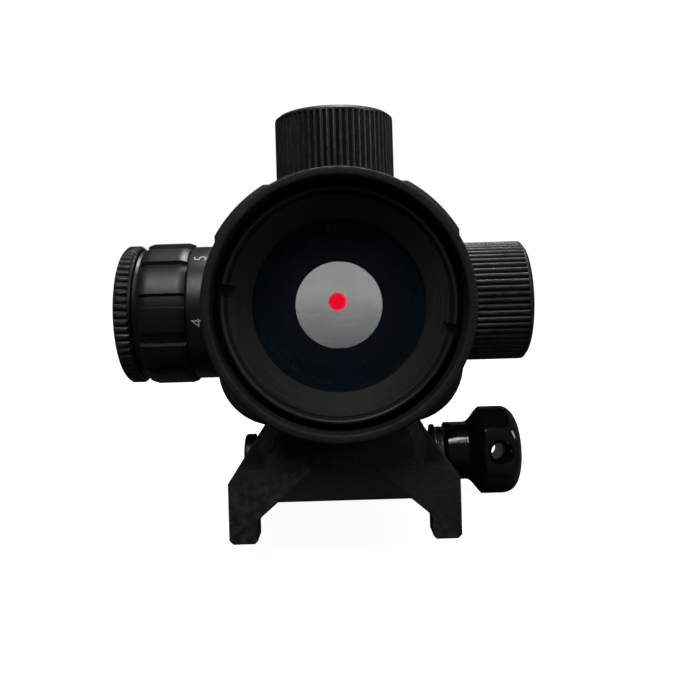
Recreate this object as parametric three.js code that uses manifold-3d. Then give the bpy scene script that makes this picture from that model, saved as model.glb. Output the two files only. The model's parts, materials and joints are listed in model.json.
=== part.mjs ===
// A tube-type red dot sight on a cross-slot accessory rail base.
//
// Millimetres. +Z up, +Y from the eyepiece towards the target, +X to the user's right.
// The origin is the centre of the flat that rests on the rail; y = 0 is the plane of the
// two adjustment turrets and the brightness dial, whose axes all cross the optical axis.

import * as THREE from 'three';
import { mergeVertices } from 'three/addons/utils/BufferGeometryUtils.js';
import Module from 'manifold-3d';

const wasm = await Module();
wasm.setup();

// ---- driving dimensions -------------------------------------------------------------

const GAP = 0.3; // clearance between neighbouring pieces
const AXIS_HEIGHT = 24.75; // optical axis above the rail seat
const BIG_ROUND = 36; // sides of the optical tube's parts
const ROUND = 24; // sides of the turrets, dials and nuts
const SMALL_ROUND = 16; // sides of screws and pins

const TUBE = {
  rear: -45, // rear rim of the eyepiece housing
  front: 66, // front rim of the objective housing
  hoodRadius: 16.8,
  barrelRadius: 16.2,
  bellRadius: 17.6,
  boreRadius: 14.2,
  rimRadius: 15.6, // inside the eyepiece's rim
  spigotRadius: 15.0, // threaded ends that the two end housings screw on to
  spigotRear: -22,
  spigotFront: 45.7,
  stepRadius: 13.2, // bore of the rear spigot
  barrelEnd: 38, // where the front barrel meets the objective housing
};

const HOUSING = {
  rear: -14,
  front: 14,
  flat: 19.8, // distance of the top and side flats from the axis
  round: 23, // radius of the upper corners about the axis
  bottom: -19.2,
  cornerRadius: 9.3,
  chamfer: 0.6,
};

const LENS = { radius: 14, clearRadius: 11.2, rear: -37.9, front: -35.9 };

const INNER = {
  rear: -6.4,
  front: 62.5,
  radius: 12.2,
  headRadius: 13.4,
  headRear: 54.5,
  pivot: 50, // where the inner tube tilts
};

const TURRET = {
  capRadius: 10.45,
  elevationEnd: 33.3, // outer ends of the two caps, from the optical axis
  windageEnd: 32.5,
  capInner: 8.3,
  collarRadius: 7.9,
  holeRadius: 6.9,
};

const DIAL = {
  collarRadius: 11.65, // numbered collar
  gripRadius: 12.35,
  gripStart: 25.2,
  gripEnd: 33,
  capRadius: 12.1,
  end: 37.2,
  lands: 12,
  phase: 0.33, // where the first flute is, in lands
  drop: 0.6, // the dial's axis lies this far below the optical axis
};

const BASE = {
  rear: -40,
  front: 32,
  halfWidth: 14.75,
  seatHalf: 8.45,
  legInner: 11.1,
  legBottom: -5.2,
  hookBottom: -7,
  shoulder: 4.1,
};

const CLAMP = { y: -4, z: -1, jawHalf: 6.8, boltRadius: 2, jawInner: 11.4 };

const NUT = {
  start: 17.4, // inner end of the collar, from the middle of the rail
  end: 30.2,
  collarRadius: 4.9,
  headRadius: 7.5,
  acrossFlats: 13.7,
  flatAngle: -6, // degrees below the horizontal
  boreEnd: 23.5,
  crossHole: 26,
  crossHoleRadius: 1.5,
};

// ---- materials ----------------------------------------------------------------------

const castBlack = { color: 0x17181a, roughness: 0.72, metalness: 0.35 };
const anodised = { color: 0x141517, roughness: 0.42, metalness: 0.6 };
const enamel = { color: 0x0d0d0f, roughness: 0.22, metalness: 0.4 };
const blackSteel = { color: 0x2a2b2e, roughness: 0.35, metalness: 0.9 };
const brightSteel = { color: 0xb9bbbd, roughness: 0.3, metalness: 0.95 };
const brass = { color: 0xb08a4a, roughness: 0.35, metalness: 0.9 };
const rubber = { color: 0x0c0c0c, roughness: 0.9, metalness: 0 };
const plastic = { color: 0x1a1a1c, roughness: 0.6, metalness: 0 };
const glass = { color: 0xbfd0d8, roughness: 0.05, metalness: 0, transparent: true, opacity: 0.35 };
const board = { color: 0x1d5a34, roughness: 0.5, metalness: 0 };
const polyimide = { color: 0xb8701c, roughness: 0.45, metalness: 0 };
const emitter = { color: 0xd81a20, roughness: 0.3, metalness: 0 };

// ---- solids -------------------------------------------------------------------------

function corners(merged) {
  const kept = [];
  const index = merged.index.array;
  for (let i = 0; i < index.length; i += 3) {
    const [a, b, c] = [index[i], index[i + 1], index[i + 2]];
    if (a !== b && b !== c && c !== a) kept.push(a, b, c);
  }
  return kept;
}

function signedVolume(position, triangles) {
  const [a, b, c] = [new THREE.Vector3(), new THREE.Vector3(), new THREE.Vector3()];
  let volume = 0;
  for (let i = 0; i < triangles.length; i += 3) {
    a.fromBufferAttribute(position, triangles[i]);
    b.fromBufferAttribute(position, triangles[i + 1]);
    c.fromBufferAttribute(position, triangles[i + 2]);
    volume += a.dot(b.cross(c));
  }
  return volume / 6;
}

function solid(geometry) {
  const bare = geometry.clone();
  bare.deleteAttribute('normal');
  bare.deleteAttribute('uv');
  const merged = mergeVertices(bare, 1e-4);
  const position = merged.attributes.position;
  const triangles = corners(merged);
  if (signedVolume(position, triangles) < 0) triangles.reverse();
  const mesh = new wasm.Mesh({
    numProp: 3,
    vertProperties: new Float32Array(position.array),
    triVerts: new Uint32Array(triangles),
  });
  return new wasm.Manifold(mesh);
}

function node(name, shape, finish) {
  const mesh = shape.getMesh();
  const geometry = new THREE.BufferGeometry();
  geometry.setAttribute('position', new THREE.BufferAttribute(mesh.vertProperties, 3));
  geometry.setIndex(new THREE.BufferAttribute(mesh.triVerts, 1));
  geometry.computeVertexNormals();
  const result = new THREE.Mesh(geometry, new THREE.MeshStandardMaterial(finish));
  result.name = name;
  return result;
}

// A profile of [radius, y] corners turned about the Y axis; it closes on itself.
function turned(profile, sides = ROUND) {
  const closed = [...profile, profile[0]];
  const points = closed.map(([radius, y]) => new THREE.Vector2(radius, y));
  return solid(new THREE.LatheGeometry(points, sides));
}

// A plain rod along Y.
function rod(radius, y0, y1, sides = SMALL_ROUND) {
  const geometry = new THREE.CylinderGeometry(radius, radius, y1 - y0, sides);
  return solid(geometry.translate(0, (y0 + y1) / 2, 0));
}

function block(x0, x1, y0, y1, z0, z1) {
  const geometry = new THREE.BoxGeometry(x1 - x0, y1 - y0, z1 - z0);
  return solid(geometry.translate((x0 + x1) / 2, (y0 + y1) / 2, (z0 + z1) / 2));
}

// An outline in the XZ plane, carried along Y from y0 to y1.
function carried(outline, y0, y1, chamfer = 0) {
  const geometry = new THREE.ExtrudeGeometry(outline, {
    depth: y1 - y0 - 2 * chamfer,
    curveSegments: 6,
    bevelEnabled: chamfer > 0,
    bevelSize: chamfer,
    bevelOffset: -chamfer,
    bevelThickness: chamfer,
    bevelSegments: 1,
  });
  geometry.rotateX(Math.PI / 2);
  return solid(geometry.translate(0, y1 - chamfer, 0));
}

function polygon(points) {
  return new THREE.Shape(points.map(([x, z]) => new THREE.Vector2(x, z)));
}

function mirrored(points) {
  return [...points, ...points.map(([x, z]) => [-x, z]).reverse()];
}

// A ring of round section lying in the XZ plane.
function oRing(radius, section, y) {
  const geometry = new THREE.TorusGeometry(radius, section, 6, 22);
  return solid(geometry.rotateX(Math.PI / 2).translate(0, y, 0));
}

// A wire of round section wound about Y, its radius running from one end's to the other's.
function coil(radius0, radius1, wire, y0, y1, turns) {
  const points = [];
  const steps = turns * 8;
  for (let i = 0; i <= steps; i += 1) {
    const t = i / steps;
    const angle = t * turns * 2 * Math.PI;
    const radius = THREE.MathUtils.lerp(radius0, radius1, t);
    const y = THREE.MathUtils.lerp(y0 + wire, y1 - wire, t);
    points.push(new THREE.Vector3(radius * Math.cos(angle), y, radius * Math.sin(angle)));
  }
  const section = polygon([0, 1, 2, 3].map((i) => {
    const angle = (i * Math.PI) / 2;
    return [wire * Math.cos(angle), wire * Math.sin(angle)];
  }));
  const extrudePath = new THREE.CatmullRomCurve3(points);
  return solid(new THREE.ExtrudeGeometry(section, { steps, extrudePath, bevelEnabled: false }));
}

// The profile of a lens whose faces both follow the sphere of the given radius, hollow
// towards -Y; each face is named by where it crosses the axis.
function meniscus(radius, rearCentre, frontCentre, sphere) {
  const steps = 3;
  const profile = [];
  const sag = (r) => sphere - Math.sqrt(sphere * sphere - r * r);
  for (let i = 0; i <= steps; i += 1) {
    const r = (radius * i) / steps;
    profile.push([r, rearCentre - sag(r)]);
  }
  for (let i = steps; i >= 0; i -= 1) {
    const r = (radius * i) / steps;
    profile.push([r, frontCentre - sag(r)]);
  }
  return turned(profile);
}

function group(position, rotation, ...members) {
  const result = new THREE.Group();
  result.position.set(...position);
  result.rotation.set(...rotation);
  result.add(...members.flat());
  return result;
}

// ---- main body ----------------------------------------------------------------------

function housingOutline() {
  const { flat, round, bottom, cornerRadius } = HOUSING;
  const inset = flat - cornerRadius;
  const arc = Math.acos(flat / round);
  const shape = new THREE.Shape();
  shape.moveTo(-inset, bottom);
  shape.lineTo(inset, bottom);
  shape.absarc(inset, bottom + cornerRadius, cornerRadius, -Math.PI / 2, 0);
  shape.absarc(0, 0, round, arc, Math.PI / 2 - arc);
  shape.absarc(0, 0, round, Math.PI / 2 + arc, Math.PI - arc);
  shape.absarc(-inset, bottom + cornerRadius, cornerRadius, Math.PI, 1.5 * Math.PI);
  return shape;
}

const SWITCH_SCREW = { offset: 6.5, radius: 0.8, hole: 1.1 };
const DETENT = { offset: 10.8, ball: 0.8, hole: 1.1 };
const BASE_SCREWS = [-11, 11];

// The central casting: turret housing, front barrel and rear threaded spigot in one.
function mainBody() {
  const { rear, front, flat, chamfer, bottom } = HOUSING;
  const { spigotRadius, boreRadius, barrelRadius, barrelEnd } = TUBE;
  const { spigotRear, spigotFront, stepRadius } = TUBE;
  const mainBoreRear = -10;
  const barrel = turned([
    [stepRadius, spigotRear], [spigotRadius, spigotRear], [spigotRadius, 0],
    [barrelRadius, 0], [barrelRadius, barrelEnd - 0.5], [barrelRadius - 0.5, barrelEnd],
    [spigotRadius, barrelEnd], [spigotRadius, spigotFront], [stepRadius, spigotFront],
  ], BIG_ROUND);
  let body = carried(housingOutline(), rear, front, chamfer).add(barrel);
  const rearBore = rod(stepRadius, spigotRear - 1, 0, BIG_ROUND);
  const mainBore = rod(boreRadius, mainBoreRear, spigotFront + 1, BIG_ROUND);
  const turretHole = rod(TURRET.holeRadius, 0, flat + 1);
  body = body.subtract(rearBore).subtract(mainBore);
  body = body.subtract(turretHole.rotate([90, 0, 0])).subtract(turretHole.rotate([0, 0, -90]));
  const sideHoles = [
    rod(2.5, 0, flat + 1),
    rod(DETENT.hole, flat - 3.6, flat + 1, 12).translate([0, 0, -DETENT.offset]),
    rod(SWITCH_SCREW.hole, flat - 3.8, flat + 1, 12).translate([SWITCH_SCREW.offset, 0, 0]),
    rod(SWITCH_SCREW.hole, flat - 3.8, flat + 1, 12).translate([-SWITCH_SCREW.offset, 0, 0]),
  ];
  for (const hole of sideHoles) {
    body = body.subtract(hole.rotate([0, 0, 90]).translate([0, 0, -DIAL.drop]));
  }
  for (const y of BASE_SCREWS) {
    const hole = rod(1.8, bottom - 1, bottom + 3.8, 16);
    body = body.subtract(hole.rotate([90, 0, 0]).translate([0, y, 0]));
  }
  return node('main_body', body, castBlack);
}

// ---- eyepiece end -------------------------------------------------------------------

function ocularHousing() {
  const { rear, hoodRadius, spigotRadius, spigotRear } = TUBE;
  const front = HOUSING.rear - GAP;
  const threadEnd = -38;
  const seatRadius = LENS.radius + GAP;
  const seatFront = -34.3;
  const stopRadius = 12.9;
  const spigotFloor = spigotRear - GAP;
  const shape = turned([
    [TUBE.rimRadius, rear], [hoodRadius - 0.3, rear], [hoodRadius, rear + 0.3],
    [hoodRadius, rear + 5.2], [hoodRadius - 0.5, rear + 5.7], [hoodRadius - 0.5, rear + 7],
    [hoodRadius, rear + 7.5], [hoodRadius, front - 0.8], [hoodRadius - 0.8, front],
    [spigotRadius + GAP, front], [spigotRadius + GAP, spigotFloor], [stopRadius, spigotFloor],
    [stopRadius, seatFront], [seatRadius, seatFront], [seatRadius, threadEnd],
    [TUBE.rimRadius, threadEnd],
  ], BIG_ROUND);
  return node('ocular_housing', shape, castBlack);
}

// The threaded ring that holds the eyepiece window, with two spanner notches.
function ocularRetainingRing() {
  const outer = TUBE.rimRadius - GAP;
  const front = LENS.rear - GAP;
  let ring = turned([
    [outer, front], [LENS.clearRadius, front], [LENS.clearRadius, front - 0.4],
    [13.9, -42.2], [14.1, -42.8], [14.4, -43], [14.7, -42.7], [15, -41.4], [outer, -41],
  ], BIG_ROUND);
  const notch = block(13.2, 16.5, -44, -41, -0.7, 0.7);
  for (const angle of [-171, 14]) ring = ring.subtract(notch.rotate([0, angle, 0]));
  return node('ocular_retaining_ring', ring, anodised);
}

function ocularEnd() {
  const { radius, rear, front } = LENS;
  const edge = 0.3;
  const window = turned([
    [0, rear], [radius - edge, rear], [radius, rear + edge],
    [radius, front - edge], [radius - edge, front], [0, front],
  ]);
  return [
    ocularHousing(),
    ocularRetainingRing(),
    node('ocular_lens', window, glass),
    node('ocular_oring', oRing(13.6, 0.5, -35.1), rubber),
  ];
}

// ---- objective end and inner tube ---------------------------------------------------

function objectiveHousing() {
  const { front, bellRadius, boreRadius, spigotRadius } = TUBE;
  const rear = TUBE.barrelEnd + GAP;
  const floor = TUBE.spigotFront + GAP;
  const shape = turned([
    [spigotRadius + GAP, rear], [bellRadius - 1, rear], [bellRadius, rear + 1],
    [bellRadius, front - 9], [bellRadius - 0.5, front - 8.5], [bellRadius - 0.5, front - 7.5],
    [bellRadius, front - 7], [bellRadius, front - 0.4], [bellRadius - 0.4, front],
    [15.4, front], [boreRadius, front - 2.5], [boreRadius, floor], [spigotRadius + GAP, floor],
  ], BIG_ROUND);
  return node('objective_housing', shape, castBlack);
}

function innerTube() {
  const { rear, front, radius, headRadius, headRear } = INNER;
  const bore = LENS.clearRadius;
  const seat = 12.6;
  const shape = turned([
    [bore, rear], [radius, rear], [radius, headRear - 1], [headRadius, headRear],
    [headRadius, front], [seat, front], [seat, headRear + 0.6], [bore, headRear + 0.6],
  ], BIG_ROUND);
  return node('inner_tube', shape, anodised);
}

// A ring with a crowned outside, on which the inner tube tilts.
function pivotRing() {
  const inner = INNER.radius + GAP;
  const outer = TUBE.boreRadius - GAP;
  const half = 2.5;
  const shape = turned([
    [inner, INNER.pivot - half], [outer - 0.5, INNER.pivot - half],
    [outer, INNER.pivot - 0.8], [outer, INNER.pivot + 0.8],
    [outer - 0.5, INNER.pivot + half], [inner, INNER.pivot + half],
  ], BIG_ROUND);
  return node('pivot_ring', shape, brass);
}

function reflectorLenses() {
  const radius = 12.3;
  const sphere = 116; // twice the distance from the emitter to the coated face
  const ring = turned([[11.2, 60.6], [radius, 60.6], [radius, 62.3], [11.6, 62.3]]);
  return [
    node('reflector_lens_rear', meniscus(radius, 56.2, 58, sphere), glass),
    node('reflector_lens_front', meniscus(radius, 58.3, 60.3, sphere), glass),
    node('reflector_retaining_ring', ring, anodised),
  ];
}

// The emitter's carrier stands on the floor of the inner tube; the chip faces the target.
function emitterBlock() {
  const rear = INNER.rear + 0.4;
  const outline = [
    [4.2, -11.5], [4.2, -9.9], [3.3, -9.9], [3.3, -9.3], [2.55, -9.3], [2.55, -7.6],
  ];
  const side = 0.5; // the block stands a little to the right
  const inside = rod(LENS.clearRadius - GAP, rear - 1, rear + 6, BIG_ROUND);
  const carrier = carried(polygon(mirrored(outline)), rear, rear + 4.6)
    .translate([side, 0, 0]).intersect(inside);
  const chip = block(side - 0.6, side + 0.6, rear + 4.9, rear + 5.4, -8.9, -7.9);
  return [node('led_mount', carrier, plastic), node('led_chip', chip, emitter)];
}

// A bowed leaf between the bore and the inner tube, pressing the tube up and to the right.
function returnSpring() {
  const half = 7;
  const thickness = 0.35;
  const foot = 13.75;
  const crown = 12.85;
  const bow = (t) => crown + (foot - thickness - crown) * t * t;
  const inner = [];
  for (let i = -4; i <= 4; i += 1) inner.push([(half * i) / 4, bow(i / 4)]);
  const outer = inner.map(([y, r]) => [y, r + thickness]).reverse();
  const geometry = new THREE.ExtrudeGeometry(polygon([...inner, ...outer]), {
    depth: 4, bevelEnabled: false,
  });
  // The outline is drawn as [y, radius]; turn it to stand in the plane through the axis.
  geometry.translate(0, 0, -2);
  geometry.applyMatrix4(new THREE.Matrix4().makeBasis(
    new THREE.Vector3(0, 1, 0), new THREE.Vector3(0, 0, -1), new THREE.Vector3(-1, 0, 0),
  ));
  const leaf = solid(geometry).rotate([0, 45, 0]);
  return node('return_spring', leaf, brightSteel);
}

// The emitter's flexible circuit: in through the side wall, back past the end of the return
// spring, then down along the bore to the emitter.
function flexCircuit() {
  const radius = 13.35;
  const lane = -8.6;
  const turnSteps = 4;
  const points = [new THREE.Vector3(-22.4, 0, 0), new THREE.Vector3(-radius - 1.4, 0, 0)];
  for (let i = 1; i <= 12; i += 1) {
    const angle = Math.PI * (1.03 + 0.036 * i);
    const y = lane * THREE.MathUtils.smoothstep(i, 0, turnSteps);
    points.push(new THREE.Vector3(radius * Math.cos(angle), y, radius * Math.sin(angle)));
  }
  const extrudePath = new THREE.CatmullRomCurve3(points);
  const section = polygon([[-0.15, -0.7], [0.15, -0.7], [0.15, 0.7], [-0.15, 0.7]]);
  const strip = new THREE.ExtrudeGeometry(section, { steps: 28, extrudePath, bevelEnabled: false });
  return node('flex_circuit', solid(strip), polyimide);
}

function innerAssembly() {
  return [
    innerTube(), pivotRing(), ...reflectorLenses(), ...emitterBlock(),
    returnSpring(), flexCircuit(),
    node('objective_oring', oRing(13.2, 0.6, 53.2), rubber),
  ];
}

// ---- adjustment turrets (axis along +Y of their group, from the optical axis) --------

function turretBase(name) {
  const { collarRadius, holeRadius } = TURRET;
  const foot = 15.2;
  const flange = HOUSING.flat + GAP;
  const top = 25.2;
  return node(name, turned([
    [2.5, foot], [holeRadius - GAP, foot], [holeRadius - GAP, flange],
    [collarRadius, flange], [collarRadius, top - 0.4], [collarRadius - 0.4, top],
    [5, top], [5, 21.4], [2.5, 21.4],
  ]), brass);
}

function turretDial(name) {
  const rim = 7.6;
  const under = 26.3;
  const top = 28.6;
  const body = turned([
    [2.5, 21.8], [4.7, 21.8], [4.7, under], [rim, under], [rim, top - 0.4], [rim - 0.4, top],
    [0, top], [0, 25], [2.5, 25],
  ]);
  const slot = block(-8, 8, top - 1.1, top + 1, -0.6, 0.6);
  return node(name, body.subtract(slot), anodised);
}

function turretPlunger(name) {
  const tip = INNER.radius + GAP;
  const body = turned([
    [0, tip], [1.4, tip], [2.2, tip + 0.6], [2.2, 23.6], [1.8, 24], [0, 24],
  ], SMALL_ROUND);
  return node(name, body, brightSteel);
}

// An open wire ring under the dial that gives the clicks.
function clickSpring(name) {
  const open = THREE.MathUtils.degToRad(25);
  const shape = new THREE.Shape();
  shape.absarc(0, 0, 7.2, open, 2 * Math.PI - open);
  shape.absarc(0, 0, 6.2, 2 * Math.PI - open, open, true);
  return node(name, carried(shape, 25.5, 26), brightSteel);
}

function turretCap(name, capEnd) {
  const { capRadius, capInner } = TURRET;
  const start = HOUSING.flat + 0.5;
  return node(name, turned([
    [capInner, start], [capRadius - 0.5, start], [capRadius, start + 0.5],
    [capRadius, capEnd - 0.8], [capRadius - 0.8, capEnd], [0, capEnd], [0, capEnd - 1.9],
    [capInner, capEnd - 1.9], [capInner, start + 1.9], [9.35, start + 1.9],
    [9.35, start + 0.4], [capInner, start + 0.4],
  ]), anodised);
}

function turret(prefix, rotation, capEnd) {
  return group([0, 0, AXIS_HEIGHT], rotation,
    turretBase(`${prefix}_turret_base`),
    turretPlunger(`${prefix}_adjusting_screw`),
    clickSpring(`${prefix}_click_spring`),
    turretDial(`${prefix}_dial`),
    node(`${prefix}_cap_oring`, oRing(8.65, 0.45, HOUSING.flat + 1.65), rubber),
    turretCap(`${prefix}_cap`, capEnd),
  );
}

// ---- brightness dial and battery (axis along +Y of the group) ------------------------

function fluteCutters(radius, start, end) {
  const width = 1.1;
  const depth = 0.75;
  const cutter = block(-width / 2, width / 2, start, end, radius - depth, radius + 1);
  const cutters = [];
  for (let i = 0; i < DIAL.lands; i += 1) {
    cutters.push(cutter.rotate([0, ((i + DIAL.phase) * 360) / DIAL.lands, 0]));
  }
  return cutters;
}

function brightnessDial() {
  const { collarRadius, gripRadius, gripStart, gripEnd } = DIAL;
  const start = HOUSING.flat + 0.6;
  const rim = 34;
  const chamber = 10.5;
  let body = turned([
    [10, start], [collarRadius, start], [collarRadius, gripStart],
    [gripRadius - 0.5, gripStart], [gripRadius, gripStart + 0.6],
    [gripRadius, gripEnd - 0.6], [gripRadius - 0.5, gripEnd], [11.4, gripEnd],
    [11.4, rim], [chamber, rim], [chamber, 26.4], [2, 26.4], [2, 24.9], [10, 24.9],
  ]);
  for (const cutter of fluteCutters(gripRadius, gripStart, gripEnd)) {
    body = body.subtract(cutter);
  }
  return node('brightness_dial', body, anodised);
}

function switchHousing() {
  const floor = HOUSING.flat + GAP;
  const inside = floor + 1.3;
  const body = turned([
    [2.5, floor], [9.6, floor], [9.6, 24.5], [8.6, 24.5], [8.6, inside], [2.5, inside],
  ]);
  const hole = rod(SWITCH_SCREW.hole, floor - 1, inside + 1, 12);
  const { offset } = SWITCH_SCREW;
  const drilled = body.subtract(hole.translate([offset, 0, 0]))
    .subtract(hole.translate([-offset, 0, 0]));
  return node('switch_housing', drilled, plastic);
}

function switchScrew(number, x) {
  const head = HOUSING.flat + 1.9;
  const { radius } = SWITCH_SCREW;
  const body = turned([
    [0, 16.3], [radius, 16.3], [radius, head], [1.4, head], [1.4, head + 0.7], [0, head + 0.7],
  ], 16);
  return node(`switch_screw_${number}`, body.translate([x, 0, 0]), blackSteel);
}

function wiper() {
  const arm = [[3.2, 24.2], [7.2, 23.85], [7.2, 23.95], [3.2, 24.6]];
  const geometry = new THREE.ExtrudeGeometry(polygon(mirrored(arm)), {
    depth: 2.4, bevelEnabled: false,
  });
  return node('switch_wiper', solid(geometry.translate(0, 0, -1.2)), brass);
}

function batteryCap() {
  const { capRadius, end } = DIAL;
  const face = 34 + GAP;
  const plug = 10.2;
  const body = turned([
    [8.4, 30.7], [plug, 30.7], [plug, 33], [9.5, 33], [9.5, face], [capRadius - 0.3, face],
    [capRadius, face + 0.3], [capRadius, end - 0.6], [capRadius - 0.6, end], [0, end],
    [0, face + 0.4], [8.4, face + 0.4],
  ]);
  const coinSlot = block(-7.5, 7.5, end - 1.2, end + 1, -0.8, 0.8);
  return node('battery_cap', body.subtract(coinSlot), anodised);
}

function brightnessGroup() {
  const ball = solid(new THREE.IcosahedronGeometry(DETENT.ball, 1));
  const detentY = HOUSING.flat - 0.5;
  const spring = coil(0.6, 0.6, 0.15, HOUSING.flat - 3.3, HOUSING.flat - 1.6, 3);
  const battery = turned([
    [0, 26.9], [8.8, 26.9], [8.8, 27.3], [9.9, 27.3], [9.9, 30.1], [0, 30.1],
  ]);
  return group([0, 0, AXIS_HEIGHT - DIAL.drop], [0, 0, Math.PI / 2],
    switchHousing(),
    switchScrew(1, SWITCH_SCREW.offset),
    switchScrew(2, -SWITCH_SCREW.offset),
    node('switch_board', rod(8.2, 22.9, 23.5, ROUND), board),
    node('detent_ball', ball.translate([0, detentY, -DETENT.offset]), brightSteel),
    node('detent_spring', spring.translate([0, 0, -DETENT.offset]), brightSteel),
    brightnessDial(),
    wiper(),
    node('contact_pin', rod(1.5, 24.9, 26.6, 16), brass),
    node('battery', battery, brightSteel),
    node('battery_spring', coil(6.5, 3.5, 0.3, 30.4, 34.1, 3), brightSteel),
    node('battery_cap_oring', oRing(10, 0.35, 33.65), rubber),
    batteryCap(),
  );
}

// ---- rail base ----------------------------------------------------------------------

function railSection() {
  const { halfWidth, seatHalf, legInner, legBottom, shoulder } = BASE;
  return polygon(mirrored([
    [seatHalf, 0], [10.5, -1.75], [legInner, -2.6], [legInner, legBottom + 0.4],
    [legInner + 0.4, legBottom], [halfWidth - 0.5, legBottom], [halfWidth, legBottom + 0.5],
    [halfWidth, 2.5], [halfWidth - 1.45, shoulder],
  ]));
}

// The pedestal's section narrows upwards, and its rear end is drawn in at the corners.
function pedestal() {
  const top = 11;
  const shoulderEnd = -24;
  const drawIn = 0.8;
  const outline = mirrored([[12.5, 3], [12.5, 4.2], [9.4, top]]);
  const middle = carried(polygon(outline), shoulderEnd, BASE.front);
  const geometry = new THREE.ExtrudeGeometry(polygon(outline), {
    depth: shoulderEnd - BASE.rear, bevelEnabled: false,
  });
  geometry.rotateX(Math.PI / 2).translate(0, shoulderEnd, 0);
  const position = geometry.attributes.position;
  for (let i = 0; i < position.count; i += 1) {
    if (position.getY(i) < shoulderEnd - 1) position.setX(i, position.getX(i) * drawIn);
  }
  return middle.add(solid(geometry));
}

function railBase() {
  const { rear, front, legInner, hookBottom, halfWidth } = BASE;
  const { y, z, jawHalf, boltRadius } = CLAMP;
  const hook = carried(polygon([
    [-halfWidth, -3], [-legInner, -3], [-9, -4.85], [-9, -6.3], [-9.7, hookBottom],
    [-halfWidth + 0.5, hookBottom], [-halfWidth, hookBottom + 0.5],
  ]), y - jawHalf, front);
  let body = carried(railSection(), rear, front).add(pedestal()).add(hook);
  const cradle = rod(TUBE.hoodRadius + 0.35, rear - 1, front + 1, BIG_ROUND);
  const seatTop = AXIS_HEIGHT + HOUSING.bottom - GAP;
  const under = block(-20, 20, HOUSING.rear - GAP, HOUSING.front + GAP, seatTop, 30);
  body = body.subtract(cradle.translate([0, 0, AXIS_HEIGHT])).subtract(under);
  const behindJaw = CLAMP.jawInner - 0.6;
  const jawRoom = block(behindJaw, 20, y - jawHalf - GAP, y + jawHalf + GAP, -9, 2.9);
  const boltHole = rod(boltRadius + GAP, -20, 20).rotate([0, 0, -90]);
  body = body.subtract(jawRoom).subtract(boltHole.translate([0, y, z]));
  const pocket = block(legInner - 0.5, 13.4, rear + 4, y - jawHalf - 1.2, -9, -2.2);
  body = body.subtract(pocket).subtract(pocket.mirror([1, 0, 0]));
  for (const screwY of BASE_SCREWS) {
    const hole = rod(1.8, -1, 8, 16).rotate([90, 0, 0]);
    const recess = rod(3.05, -1, 3, 20).rotate([90, 0, 0]);
    body = body.subtract(hole.translate([0, screwY, 0]));
    body = body.subtract(recess.translate([0, screwY, 0]));
  }
  return node('rail_base', body, castBlack);
}

function baseScrew(number, y) {
  const head = 0.3;
  const under = 2.7;
  const tip = AXIS_HEIGHT + HOUSING.bottom + 3.5;
  const body = turned([
    [0, head], [2.75, head], [2.75, under], [1.5, under], [1.5, tip], [0, tip],
  ], 20);
  const socket = rod(1.45, head - 1, head + 1.4, 6);
  const screw = body.subtract(socket).rotate([90, 0, 0]).translate([0, y, 0]);
  return node(`base_screw_${number}`, screw, blackSteel);
}

// ---- rail clamp (axis along +Y of the group, which points to the right) --------------

function clampJaw() {
  const { jawInner, jawHalf, y, z, boltRadius } = CLAMP;
  const outer = BASE.halfWidth;
  const plate = carried(polygon([
    [jawInner, 2.6], [jawInner, -3.7], [jawInner - 2, -5.7], [jawInner - 2, -6.3],
    [jawInner - 1.3, BASE.hookBottom],
    [outer - 0.5, BASE.hookBottom], [outer, BASE.hookBottom + 0.5], [outer, 2.1],
    [outer - 0.5, 2.6],
  ]), y - jawHalf, y + jawHalf, 0.4);
  const hole = rod(boltRadius + GAP, 5, 20).rotate([0, 0, -90]).translate([0, y, z]);
  return node('clamp_jaw', plate.subtract(hole), castBlack);
}

function clampBolt() {
  const under = -BASE.halfWidth - GAP;
  const head = under - 1.75;
  const radius = 3.85;
  const tip = 23.2;
  const body = turned([
    [0, head], [radius - 0.5, head], [radius, head + 0.5], [radius, under],
    [CLAMP.boltRadius, under], [CLAMP.boltRadius, tip - 0.4], [CLAMP.boltRadius - 0.4, tip],
    [0, tip],
  ]);
  const socket = rod(1.5, head - 1, head + 1.3, 6);
  return node('clamp_bolt', body.subtract(socket), blackSteel);
}

function flatWasher() {
  const start = BASE.halfWidth + GAP;
  const hole = CLAMP.boltRadius + GAP;
  return node('flat_washer', turned([
    [hole, start], [4.6, start], [4.6, start + 0.7], [hole, start + 0.7],
  ]), brightSteel);
}

function lockWasher() {
  const start = BASE.halfWidth + 1.3;
  const hole = CLAMP.boltRadius + GAP;
  const ring = turned([[hole, start], [4.2, start], [4.2, start + 1], [hole, start + 1]]);
  const split = block(-0.35, 0.35, start - 1, start + 2, 1, 5);
  return node('lock_washer', ring.subtract(split), brightSteel);
}

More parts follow.
